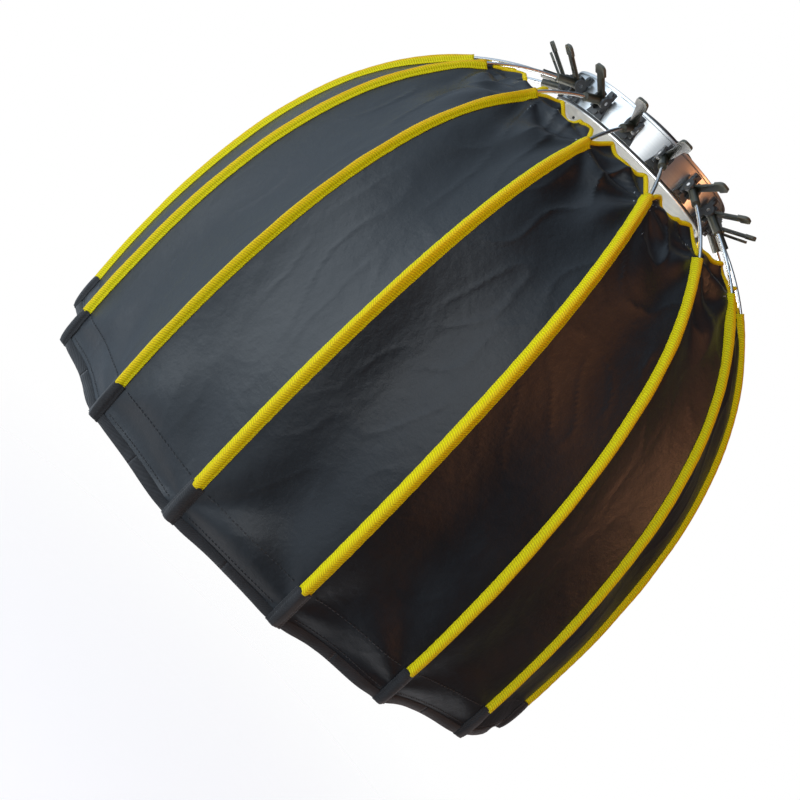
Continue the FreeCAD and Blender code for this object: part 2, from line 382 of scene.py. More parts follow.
@dataclass(frozen=True)
class RibbedWebbing:
    """Woven tape with cross ribs and two edge cords, with painted shade: a darker middle for the shade on the
    rounded tube over the rod, and darker grooves between the ribs.
    """
    name: str
    edge: Triple
    # middle: painted shade for the rounded tube over the rod, laid down the tape's middle
    middle: Triple
    # shade: painted shade for the grooves between the ribs
    shade: Triple
    rib: float = 0.0026
    roughness: float = 0.55
    depth: float = 0.0007
    lean: float = 0.6
    middle_width: Pair = (0.0016, 0.0044)
    # fading: distances along the tape over which the painted middle shade weakens towards the lip
    fading: Pair = (0.18, 0.58)
    # size of the patches that vary the painted middle shade and the roughness
    blotch_scale: float = 30.0

    def make(self) -> Material:
        """Build the material.

        Returns:
            The material.
        """
        g = Graph(self.name)
        across, along = g.weave()
        lean = across.math("ABSOLUTE") * self.lean
        ribs = ((along + lean) / self.rib).wave()
        threads = (across / (self.rib * 0.3)).wave()
        # Painted shade: the middle band is pulled towards the middle colour, fully near the neck and less
        # towards the lip, varied in patches.
        inside = across.math("ABSOLUTE").between(*self.middle_width, 1.0, 0.0)
        blotches = g.noise(g.place(), self.blotch_scale, 4.0)
        middle_shade = along.between(*self.fading, 1.0, 0.45) * blotches.between(0.15, 0.55, 0.7, 1.0)
        body = g.mix(inside * middle_shade, self.edge, self.middle)
        # Painted shade: the grooves between the ribs are darkened towards the shade colour.
        base = g.mix((1.0 - ribs) * 0.5, body, self.shade)
        height = ribs * 0.8 + threads * 0.2
        return g.finish(Base_Color=base, Roughness=blotches * 0.15 + (self.roughness - 0.07),
                        Normal=g.bump(height, 0.8, self.depth), Specular_IOR_Level=0.18)


@dataclass(frozen=True)
class PlainTape:
    """Close-woven tape or thread."""
    name: str
    colour: Triple
    worn: Triple
    roughness: float = 0.75
    weave: float = 260.0
    weave_depth: float = 0.0004
    blotch_scale: float = 40.0

    def make(self) -> Material:
        """Build the material.

        Returns:
            The material.
        """
        g = Graph(self.name)
        weave = g.node("ShaderNodeTexWave", {"wave_type": "BANDS", "bands_direction": "DIAGONAL"},
                       {"Vector": g.place(), "Scale": self.weave, "Distortion": 1.5})
        blotches = g.noise(g.place(), self.blotch_scale, 4.0)
        base = g.mix(blotches.between(0.35, 0.75), self.colour, self.worn)
        return g.finish(Base_Color=base, Roughness=weave * 0.1 + self.roughness,
                        Normal=g.bump(weave, 0.5, self.weave_depth), Sheen_Weight=0.2)


@dataclass(frozen=True)
class DiffusionCloth:
    """White woven diffusion cloth that lets a little light in under its face."""
    name: str = "diffusion_cloth"
    white: Triple = (0.86, 0.87, 0.87)
    grey: Triple = (0.76, 0.77, 0.78)
    thread: float = 0.0011
    patches: float = 7.0
    wave_depth: float = 0.006
    weave_depth: float = 0.0004

    def make(self) -> Material:
        """Build the material.

        Returns:
            The material.
        """
        g = Graph(self.name)
        place = g.place()
        warp = (g.split(place, "X") / self.thread).wave()
        weft = (g.split(place, "Y") / self.thread).wave()
        cloudy = g.noise(place, self.patches, 4.0)
        base = g.mix(cloudy.between(0.3, 0.75), self.white, self.grey)
        soft = g.bump(cloudy, 0.25, self.wave_depth)
        return g.finish(Base_Color=base, Roughness=cloudy * 0.1 + 0.75, Subsurface_Weight=0.15,
                        Normal=g.bump(warp * weft, 0.3, self.weave_depth, soft), Sheen_Weight=0.3)


@dataclass(frozen=True)
class TurnedMetal:
    """Bare metal with fine turning or rolling lines round the lens axis."""
    name: str
    light: Triple
    dark: Triple
    roughness: float
    lines: float = 900.0
    line_depth: float = 0.0002
    smudges: float = 28.0

    def make(self) -> Material:
        """Build the material.

        Returns:
            The material.
        """
        g = Graph(self.name)
        place = g.place()
        reach, height = g.reach(place), g.split(place, "Z")
        ring = g.node("ShaderNodeCombineXYZ", None, {0: reach * self.lines, 1: height * self.lines})
        lines = g.noise(ring, 1.0, 2.0)
        smudge = g.noise(place, self.smudges, 5.0)
        base = g.mix((lines * 0.5 + smudge * 0.5).between(0.3, 0.7), self.dark, self.light)
        rough = smudge * 0.16 + lines * 0.06 + (self.roughness - 0.11)
        return g.finish(Base_Color=base, Metallic=1.0, Roughness=rough,
                        Normal=g.bump(lines, 0.12, self.line_depth))


@dataclass(frozen=True)
class MouldedPlastic:
    """Dark moulded plastic or powder coat with a fine spark texture and rubbed high spots."""
    name: str
    dark: Triple
    rubbed: Triple
    roughness: float = 0.48
    sparks: float = 1400.0
    spark_depth: float = 0.0003
    smudges: float = 45.0

    def make(self) -> Material:
        """Build the material.

        Returns:
            The material.
        """
        g = Graph(self.name)
        place = g.place()
        spark = g.noise(place, self.sparks, 2.0)
        smudge = g.noise(place, self.smudges, 5.0)
        edges = g.node("ShaderNodeNewGeometry", output="Pointiness").between(0.51, 0.60)
        base = g.mix((edges * 0.7 + smudge * 0.35).between(0.25, 0.95), self.dark, self.rubbed)
        return g.finish(Base_Color=base, Roughness=smudge * 0.2 + (self.roughness - 0.1),
                        Normal=g.bump(spark, 0.25, self.spark_depth), Specular_IOR_Level=0.5)


@dataclass(frozen=True)
class StudioFloor:
    """Plain pale studio paper that fades out with distance."""
    fade_from: float
    fade_to: float
    name: str = "studio_paper"
    pale: Triple = (0.90, 0.90, 0.90)
    grey: Triple = (0.82, 0.82, 0.82)
    grain: float = 220.0
    grain_depth: float = 0.0005
    glow: float = 0.55

    def make(self) -> Material:
        """Build the material.

        Returns:
            The material.
        """
        g = Graph(self.name)
        grain = g.noise(g.place(), self.grain, 3.0)
        reach = g.reach(g.place())
        base = g.mix(grain * 0.04, self.pale, self.grey)
        from_above = 1 - g.node("ShaderNodeNewGeometry", output="Backfacing")
        shown = reach.between(self.fade_from, self.fade_to, 1.0, 0.0) * from_above
        return g.finish(Base_Color=base, Roughness=0.9, Alpha=shown,
                        Emission_Color=(1.0, 1.0, 1.0), Emission_Strength=self.glow,
                        Specular_IOR_Level=0.0, Normal=g.bump(grain, 0.05, self.grain_depth))


@dataclass
class Finishes:
    """Every material of the softbox, made once."""
    nylon: Material
    lining: Material
    sleeve: Material
    piping: Material
    tape: Material
    thread: Material
    white: Material
    band: Material
    insert: Material
    steel: Material
    rod: Material
    plate: Material
    plastic: Material
    lever: Material

    @classmethod
    def make(cls) -> "Finishes":
        """Build them all.

        Returns:
            The set of materials.
        """
        # The orange middles below are painted shade for the rounded tubes of sleeve and piping; shade is
        # painted shade for their rib grooves.
        yellow, shade = (0.95, 0.83, 0.001), (0.40, 0.25, 0.001)
        return cls(
            nylon=CoatedNylon().make(),
            lining=SilverLining().make(),
            sleeve=RibbedWebbing("yellow_sleeve", yellow, (0.98, 0.56, 0.001), shade).make(),
            piping=RibbedWebbing("yellow_piping", yellow, (0.98, 0.68, 0.001), shade,
                                 rib=0.0018, depth=0.0004).make(),
            tape=PlainTape("black_tape", (0.006, 0.006, 0.007), (0.016, 0.016, 0.018)).make(),
            thread=PlainTape("black_thread", (0.004, 0.004, 0.005), (0.02, 0.02, 0.022), 0.6).make(),
            white=DiffusionCloth().make(),
            band=TurnedMetal("bright_band", (0.86, 0.86, 0.84), (0.72, 0.72, 0.71), 0.34).make(),
            insert=TurnedMetal("turned_insert", (0.80, 0.81, 0.82), (0.62, 0.63, 0.64), 0.30).make(),
            steel=TurnedMetal("zinc_steel", (0.62, 0.62, 0.63), (0.42, 0.42, 0.44), 0.36, 1500.0).make(),
            rod=TurnedMetal("spring_steel", (0.84, 0.85, 0.86), (0.66, 0.67, 0.68), 0.20, 1200.0).make(),
            plate=MouldedPlastic("powder_coat", (0.010, 0.010, 0.011), (0.05, 0.05, 0.05), 0.42).make(),
            plastic=MouldedPlastic("black_moulding", (0.008, 0.009, 0.010), (0.055, 0.058, 0.060)).make(),
            lever=MouldedPlastic("olive_lever", (0.016, 0.017, 0.011), (0.085, 0.082, 0.060), 0.42).make(),
        )


# ---------------------------------------------------------------- rods and cloth surface

@dataclass(frozen=True)
class RodLine:
    """A bowed rod's centreline from its hinge pin, and the cloth that hangs from it."""
    hinge_radius: float
    hinge_height: float
    start_angle: float = 64.5
    stub: float = 0.032
    arc: float = 0.116
    turns: tuple[float, ...] = (22.5, 19.0, 12.5, 7.5, 5.0)
    lip: float = 0.040
    cloth_face: float = 0.0027
    sag: float = 0.016

    @classmethod
    def from_frame(cls) -> "RodLine":
        """Take the hinge's place from the pins.

        Returns:
            The line of a rod from that pin.
        """
        low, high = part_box("hinge_pins")
        pin = (high.z - low.z) / 2
        return cls(high.x - pin, (high.z + low.z) / 2)

    @property
    def length(self) -> float:
        """Length from the pin to the sleeve's end."""
        return self.stub + self.arc * len(self.turns)

    @property
    def end(self) -> float:
        """Distance from the pin to the lip's edge at a rod."""
        return self.length + self.lip

    def at(self, distance: np.ndarray) -> tuple[np.ndarray, np.ndarray, np.ndarray]:
        """Radius, height and slope from straight ahead, at distances from the pin.

        Args:
            distance: distances from the hinge pin.

        Returns:
            Radius, height and slope, one of each per distance.
        """
        distance = np.asarray(distance, float)
        angle = np.full(distance.shape, math.radians(self.start_angle))
        straight = np.minimum(distance, self.stub)
        radius = self.hinge_radius + straight * np.sin(angle)
        height = self.hinge_height - straight * np.cos(angle)
        left = distance - straight
        for turn in self.turns:
            part = np.clip(left, 0.0, self.arc)
            bend = math.radians(turn) * part / self.arc
            chord = part * np.sinc(bend / 2 / math.pi)
            radius = radius + chord * np.sin(angle - bend / 2)
            height = height - chord * np.cos(angle - bend / 2)
            angle = angle - bend
            left = left - part
        return radius + left * np.sin(angle), height - left * np.cos(angle), angle


def ripples(u: np.ndarray, v: np.ndarray, rng: np.random.Generator, slow: float, fast: float,
            count: int = 9) -> np.ndarray:
    """A smooth random field.

    Args:
        u: first coordinate.
        v: second coordinate.
        rng: the seeded source of its waves.
        slow: lowest frequency.
        fast: highest frequency.
        count: number of waves.

    Returns:
        Values of about -1 to 1.
    """
    total = np.zeros(np.broadcast(u, v).shape)
    for _ in range(count):
        turn, phase = rng.uniform(0, math.pi), rng.uniform(0, 2 * math.pi)
        rate = 2 * math.pi * rng.uniform(slow, fast)
        total += np.cos(rate * (u * math.cos(turn) + v * math.sin(turn)) + phase)
    return total * math.sqrt(2 / count) / 2


@dataclass(frozen=True)
class Fan:
    """Folds that fan out from one end of a rod."""
    height: float
    centre: float
    reach: float
    counts: Pair

    def at(self, aside: np.ndarray, along: np.ndarray, rng: np.random.Generator) -> np.ndarray:
        """How far the folds stand out.

        Args:
            aside: distance from the rod.
            along: distance along it from its end of the cloth.
            rng: the seeded source of their number and start.

        Returns:
            Heights in metres.
        """
        count = rng.uniform(*self.counts)
        along = along - self.centre
        far = np.hypot(aside, along) / self.reach
        wave = np.sin(count * np.arctan2(aside, along) + rng.uniform(0, 2 * math.pi))
        return self.height * (wave * far * np.exp(1 - far))


@dataclass(frozen=True)
class Gores:
    """The canopy's surface: gores that sag between the rods, with pulled folds."""
    line: RodLine
    notch_top: float = 0.104
    neck: float = 0.072
    notch_share: float = 0.36
    scallop: float = 0.007
    lip_scallop: float = 0.0015
    lip_hold: float = 0.75
    lip_hold_reach: float = 0.10
    drape: float = 0.0055
    drape_waves: Pair = (3.0, 11.0)
    drape_reach: float = 0.12
    crease: float = 0.0030
    crease_waves: Pair = (7.0, 24.0)
    crease_reach: float = 0.11
    crease_far: float = 0.10
    neck_fan: Fan = Fan(0.0028, 0.03, 0.05, (6.0, 9.0))
    lip_fan: Fan = Fan(0.0023, 0.02, 0.06, (4.0, 6.0))
    lean: float = 0.7
    seed: int = 7

    def neck_at(self, share: np.ndarray) -> np.ndarray:
        """Distance from the pin where the cloth starts, by share of the half gore.

        Args:
            share: -1 to 1 across the panel, 0 at the rod.

        Returns:
            The distances.
        """
        share = np.abs(share)
        notch = self.notch_top + (self.neck - self.notch_top) * (share / self.notch_share) ** 0.8
        over = (share - self.notch_share) / (1 - self.notch_share)
        open_edge = self.neck + self.scallop * np.sin(math.pi / 2 * np.clip(over, 0, 1))
        return np.where(share < self.notch_share, notch, open_edge)

    def lip_at(self, share: np.ndarray) -> np.ndarray:
        """Distance from the pin where the cloth ends."""
        return self.line.end - self.lip_scallop * np.sin(math.pi / 2 * np.abs(share)) ** 2

    def folds(self, gore: int, over: np.ndarray, distance: np.ndarray) -> np.ndarray:
        """How far the pulled folds stand out of one smooth gore.

        Args:
            gore: number of the gore, from the rod on its low side.
            over: 0 to 1 from rod to rod.
            distance: distance from the hinge pin.

        Returns:
            Heights in metres.
        """
        rng = np.random.default_rng(self.seed * 100 + gore)
        window = np.sin(math.pi * np.clip(over, 0, 1)) ** 0.7
        start = np.maximum(distance - self.neck, 0.0)
        end = np.maximum(self.line.end - distance, 0.0)
        wide = PITCH * self.line.at(distance)[0]
        across = (over - 0.5) * wide
        lean = rng.uniform(-self.lean, self.lean)
        drape = ripples(across * 0.75 + lean * distance, distance * 0.55, rng, *self.drape_waves)
        field = ripples(across, distance * 0.5, rng, *self.crease_waves)
        ridge = (1 - np.abs(field) * 2.2).clip(0, 1) ** 2 - 0.3
        height = self.drape * drape * (0.55 + 0.45 * np.exp(-end / self.drape_reach))
        fading = self.crease_far + (1 - self.crease_far) * np.exp(-start / self.crease_reach)
        height += self.crease * ridge * fading
        for side in (0.0, 1.0):
            aside = np.abs(over - side) * wide
            height += self.neck_fan.at(aside, start, rng) + self.lip_fan.at(aside, end, rng)
        return height * window

    def points(self, rod: int, distance: np.ndarray, share: np.ndarray,
               out: np.ndarray | float = 0.0) -> np.ndarray:
        """Points on the outer face.

        Args:
            rod: number of the rod, from 0.
            distance: distances from the hinge pin along the rod.
            share: -1 to 1 across the panel, 0 at the rod; past 1 it runs into the next panel.
            out: distance outside the face.

        Returns:
            The points in the row frame, last axis x, y, z.
        """
        distance, share = np.broadcast_arrays(np.asarray(distance, float), np.asarray(share, float))
        line = self.line
        radius, height, angle = line.at(distance)
        half = PITCH / 2
        over = np.where(share >= 0, share / 2, 1 + share / 2)
        inward_share = 1 - np.abs(np.abs(share) - 1)
        fold = np.where(share >= 0, self.folds(rod % ROD_COUNT, over, distance),
                        self.folds((rod - 1) % ROD_COUNT, over, distance))
        flat = radius * (1 - math.cos(half) / np.cos(half - half * inward_share))
        held = 1 - self.lip_hold * np.exp(-np.maximum(line.end - distance, 0) / self.lip_hold_reach)
        flat = flat + line.sag * held * radius * np.sin(math.pi * inward_share / 2)
        inward = line.cloth_face + flat * np.cos(angle) - out - fold
        reach = radius - inward * np.cos(angle)
        turn = half * share + rod * PITCH
        return np.stack([reach * np.cos(turn), reach * np.sin(turn), height - inward * np.sin(angle)], -1)

    def normals(self, rod: int, distance: np.ndarray, share: np.ndarray) -> np.ndarray:
        """Outward unit normals, the same on both sides of a cut between panels.

        Args:
            rod: number of the rod, from 0.
            distance: distances from the hinge pin.
            share: -1 to 1 across the panel, 0 at the rod.

        Returns:
            The unit normals, last axis x, y, z.
        """
        step, turn = 0.0015, 0.02
        ahead = self.points(rod, distance + step, share) - self.points(rod, distance - step, share)
        share = np.asarray(share, float)
        at_rod = np.abs(share) < turn
        low = np.where(at_rod & (share >= 0), share, share - turn)
        high = np.where(at_rod & (share < 0), share, share + turn)
        low, high = np.where(share == 0, -turn, low), np.where(share == 0, turn, high)
        side = self.points(rod, distance, high) - self.points(rod, distance, low)
        normal = np.cross(ahead, side)
        return normal / np.linalg.norm(normal, axis=-1, keepdims=True)


# ---------------------------------------------------------------- mesh helpers


def label(rod: int) -> str:
    """A rod's two-figure number."""
    return f"{rod + 1:02d}"


def mesh_piece(name: str, points: list, faces: list, materials: list, uvs: list | None = None,
               slots: list | None = None) -> Piece:
    """A smooth mesh object.

    Args:
        name: the piece's name.
        points: vertex places.
        faces: vertex numbers of each face.
        materials: the materials, in slot order.
        uvs: one pair per vertex, for the weave map.
        slots: material slot number of each face.

    Returns:
        The object, linked to the scene.
    """
    mesh = bpy.data.meshes.new(name)
    mesh.from_pydata([tuple(p) for p in points], [], faces)
    for material in materials:
        mesh.materials.append(material)
    mesh.polygons.foreach_set("use_smooth", [True] * len(faces))
    if slots is not None:
        mesh.polygons.foreach_set("material_index", slots)
    if uvs is not None:
        layer = mesh.uv_layers.new(name="weave")
        pairs = np.array(uvs, np.float32)[[v for face in faces for v in face]]
        layer.data.foreach_set("uv", pairs.ravel())
    mesh.update()
    piece = bpy.data.objects.new(name, mesh)
    bpy.context.scene.collection.objects.link(piece)
    return piece


def grid_faces(rows: int, columns: int, start: int = 0, closed: bool = False, flip: bool = False) -> list:
    """Quads of a grid whose vertices run along the columns first.

    Args:
        rows: number of rows.
        columns: number of points in a row.
        start: number of the first point.
        closed: whether each row runs round to its start.
        flip: whether the faces are turned over.

    Returns:
        Point numbers of each quad.
    """
    faces = []
    for i in range(rows - 1):
        for j in range(columns if closed else columns - 1):
            k = (j + 1) % columns
            quad = [start + i * columns + j, start + i * columns + k,
                    start + (i + 1) * columns + k, start + (i + 1) * columns + j]
            faces.append(quad[::-1] if flip else quad)
    return faces


def with_back(points: list, faces: list, thickness: float) -> tuple[list, list]:
    """A level sheet's points and faces with a back face, a thickness higher, joined at the rim.

    Args:
        points: places of the points.
        faces: point numbers of each face.
        thickness: height from face to back.

    Returns:
        The points and faces of both sides and the rim.
    """
    count = len(points)
    back = [(x, y, z + thickness) for x, y, z in points]
    sides = dict.fromkeys((a, b) for face in faces for a, b in zip(face, face[1:] + face[:1]))
    rim = [(a, b) for a, b in sides if (b, a) not in sides]
    walls = [[b, a, a + count, b + count] for a, b in rim]
    return points + back, faces + [[v + count for v in face[::-1]] for face in faces] + walls


def disc(rings: int, sectors: int, thickness: float,
         at: Callable[[float, float], Triple]) -> tuple[list, list]:
    """A round sheet with a back.

    Args:
        rings: number of rings of points.
        sectors: number of points in a ring.
        thickness: from face to back.
        at: gives the point at a share of the radius and a turn.

    Returns:
        Its points and faces.
    """
    turns = [2 * math.pi * j / sectors for j in range(sectors)]
    points = [at(0.0, 0.0)] + [at(i / rings, turn) for i in range(1, rings + 1) for turn in turns]
    faces = [[0, 1 + (j + 1) % sectors, 1 + j] for j in range(sectors)]
    return with_back(points, faces + grid_faces(rings, sectors, 1, closed=True), thickness)


def swept(name: str, sections: list, materials: list, uvs: list, capped: bool = True,
          flip: bool = False) -> Piece:
    """A closed skin through sections of equal point count.

    Args:
        name: the piece's name.
        sections: lists of points.
        materials: the materials, in slot order.
        uvs: one pair per point, for the weave map.
        capped: whether both ends are closed.
        flip: whether the faces are turned over.

    Returns:
        The piece.
    """
    rows, columns = len(sections), len(sections[0])
    points = [p for section in sections for p in section]
    faces = grid_faces(rows, columns, closed=True, flip=flip)
    if capped:
        first = list(range(columns))
        last = [len(points) - columns + i for i in range(columns)]
        faces += [first if flip else first[::-1], last[::-1] if flip else last]
    return mesh_piece(name, points, faces, materials, uvs)


def tube(name: str, path: list, radius: float, material: Material,
         sides: int = 8) -> Piece:
    """A round cord along a path of points.

    Args:
        name: the piece's name.
        path: points along its middle.
        radius: half its thickness.
        material: its finish.
        sides: number of sides.

    Returns:
        The piece.
    """
    sections, uvs, run = [], [], 0.0
    up = Vector((0, 0, 1))
    for i, p in enumerate(path):
        along = (path[min(i + 1, len(path) - 1)] - path[max(i - 1, 0)]).normalized()
        across = along.cross(up).normalized()
        over = across.cross(along)
        if i:
            run += (p - path[i - 1]).length
        turns = [2 * math.pi * k / sides for k in range(sides)]
        sections.append([p + (across * math.cos(t) + over * math.sin(t)) * radius for t in turns])
        uvs += [(radius * math.sin(t), run) for t in turns]
    return swept(name, sections, [material], uvs, flip=True)


# ---------------------------------------------------------------- sub-assemblies

@dataclass
class CanopyCloth:
    """The canopy: one continuous surface, cut at mid-gore so each part follows its rod."""
    gores: Gores
    finishes: Finishes
    rows: int = 130
    half_columns: int = 20
    thickness: float = 0.0007
    keep: float = 0.84
    hem_step: float = 0.0006
    hem_lead: float = 0.004
    hem_slope: float = 0.0015
    piping_radius: float = 0.0026
    piping_lead: float = 0.0006
    tape_depth: float = 0.0090
    tape_wall: float = 0.0008
    tape_nose: Pair = (0.0010, 0.0018)
    half_gore: float = 0.07
    seam_room: float = 0.001
    edge_room: float = 0.0130
    stitch_lengths: Pair = (0.0050, 0.0042)
    stitch_ends: Pair = (0.16, 0.84)
    stitch_width: float = 0.0005
    stitch_rise: Triple = (0.0002, 0.0004, 0.0005)
    pocket_room: float = 0.013

    def grid(self) -> tuple[np.ndarray, np.ndarray]:
        """Distances and shares of the cloth's points.

        Returns:
            The distances and the shares, one row from neck to lip per step.
        """
        share = np.linspace(-1, 1, 2 * self.half_columns + 1)[None, :]
        run = np.linspace(0, 1, self.rows)[:, None]
        start, end = self.gores.neck_at(share), self.gores.lip_at(share)
        return start + (end - start) * run, share + 0 * run

    def hem(self, distance: np.ndarray) -> np.ndarray:
        """Extra height of the doubled lip."""
        past = distance - self.gores.line.length + self.hem_lead
        return self.hem_step * np.clip(past / self.hem_slope, 0, 1)

    def panel(self, rod: int) -> Piece:
        """The cloth of one rod, black outside and silver inside.

        Args:
            rod: number of the rod, from 0.

        Returns:
            The cloth.
        """
        distance, share = self.grid()
        columns, count = distance.shape[1], distance.size
        outer = self.gores.points(rod, distance, share, self.hem(distance))
        inner = self.gores.points(rod, distance, share, -self.thickness)
        radius = self.gores.line.at(distance)[0]
        uvs = np.stack([share * PITCH / 2 * radius, distance], -1).reshape(-1, 2)
        faces = grid_faces(self.rows, columns, flip=True) + grid_faces(self.rows, columns, count)
        slots = [0] * (len(faces) // 2) + [1] * (len(faces) // 2)
        edge = [(0, j) for j in range(columns)] + [(i, columns - 1) for i in range(1, self.rows)]
        edge += [(self.rows - 1, j) for j in range(columns - 2, -1, -1)]
        edge += [(i, 0) for i in range(self.rows - 2, 0, -1)]
        ring = [i * columns + j for i, j in edge]
        for a, b in zip(ring, ring[1:] + ring[:1]):
            faces.append([a, b, b + count, a + count])
            slots.append(0)
        points = np.concatenate([outer.reshape(-1, 3), inner.reshape(-1, 3)])
        piece = mesh_piece(f"canopy_cloth_{label(rod)}", points, faces,
                           [self.finishes.nylon, self.finishes.lining], np.concatenate([uvs, uvs]), slots)
        normals = self.gores.normals(rod, distance, share).reshape(-1, 3)
        piece.data.normals_split_custom_set_from_vertices(np.concatenate([normals, -normals]).tolist())
        return piece

    def piping(self, rod: int) -> Piece:
        """Yellow binding along the neck and down the notch to the sleeve.

        Args:
            rod: number of the rod, from 0.

        Returns:
            The binding.
        """
        share = np.linspace(-1, 1, 90)
        start = self.gores.neck_at(share) - self.piping_lead
        path = [Vector(p) for p in self.gores.points(rod, start, share, -self.thickness / 2)]
        return tube(f"neck_piping_{label(rod)}", path, self.piping_radius, self.finishes.piping)

    def edge_tape(self, rod: int) -> Piece:
        """Black binding folded over the lip's edge.

        Args:
            rod: number of the rod, from 0.

        Returns:
            The tape.
        """
        share = np.linspace(-1, 1, 41)
        end = self.gores.lip_at(share)
        under = -self.thickness - self.tape_wall
        over = self.hem_step + self.tape_wall
        bend, nose = self.tape_nose
        loop = [(-self.tape_depth, over), (bend, over), (nose, 0.0), (bend, under), (-self.tape_depth, under)]
        rings = np.stack([self.gores.points(rod, end + back, share, out) for back, out in loop], 1)
        sections = [[Vector(p) for p in ring] for ring in rings]
        uvs = [(back, x * self.half_gore) for x in share for back, _ in loop]
        return swept(f"lip_tape_{label(rod)}", sections, [self.finishes.tape], uvs)

    def stitches(self, rod: int) -> Piece:
        """Two stitched rows: one at the lip's seam and one beside its edge.

        Args:
            rod: number of the rod, from 0.

        Returns:
            Both rows as one piece.
        """
        line = self.gores.line
        shares, backs, lifts, faces = [], [], [], []
        base, edge, middle = self.stitch_rise
        for back, size in zip((line.lip + self.seam_room, self.edge_room), self.stitch_lengths):
            half_width = float(PITCH / 2 * line.at(line.end - back)[0])
            count = int(2 * half_width / size)
            for k in range(count):
                low, high = [2 * (k + part) / count - 1 for part in self.stitch_ends]
                if abs(low + high) / 2 * half_width < self.pocket_room:
                    continue
                faces += grid_faces(3, 3, len(shares))
                for share, lift in ((low, 0.0), ((low + high) / 2, middle), (high, 0.0)):
                    shares += [share] * 3
                    backs += [back - self.stitch_width, back, back + self.stitch_width]
                    lifts += [lift, lift + edge, lift]
        share, back = np.array(shares), np.array(backs)
        distance = self.gores.lip_at(share) - back
        points = self.gores.points(rod, distance, share, self.hem(distance) + np.array(lifts) + base)
        uvs = np.stack([back, share * self.half_gore], -1)
        return mesh_piece(f"lip_stitching_{label(rod)}", points, faces, [self.finishes.thread], uvs)

    def make(self) -> None:
        """Build every panel with its binding and stitching."""
        line = self.gores.line
        for rod in range(ROD_COUNT):
            panel = self.panel(rod)
            piping, tape, stitches = self.piping(rod), self.edge_tape(rod), self.stitches(rod)
            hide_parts(f"canopy_panel_{label(rod)}")
            for piece in (panel, piping, tape, stitches):
                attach(piece, f"rod_arm_{label(rod)}")
                f"rod_{label(rod)}_fold"
                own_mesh(piece)
            width = PITCH * float(line.at(line.length)[0])
            length = line.end - self.gores.neck
            area = sum(p.area for p in panel.data.polygons if p.material_index == 0)
            f"rod_{label(rod)}"
            round(min(area, width * length), 4)
        log.info("canopy: %d panels with neck piping, lip tape and stitching", ROD_COUNT)


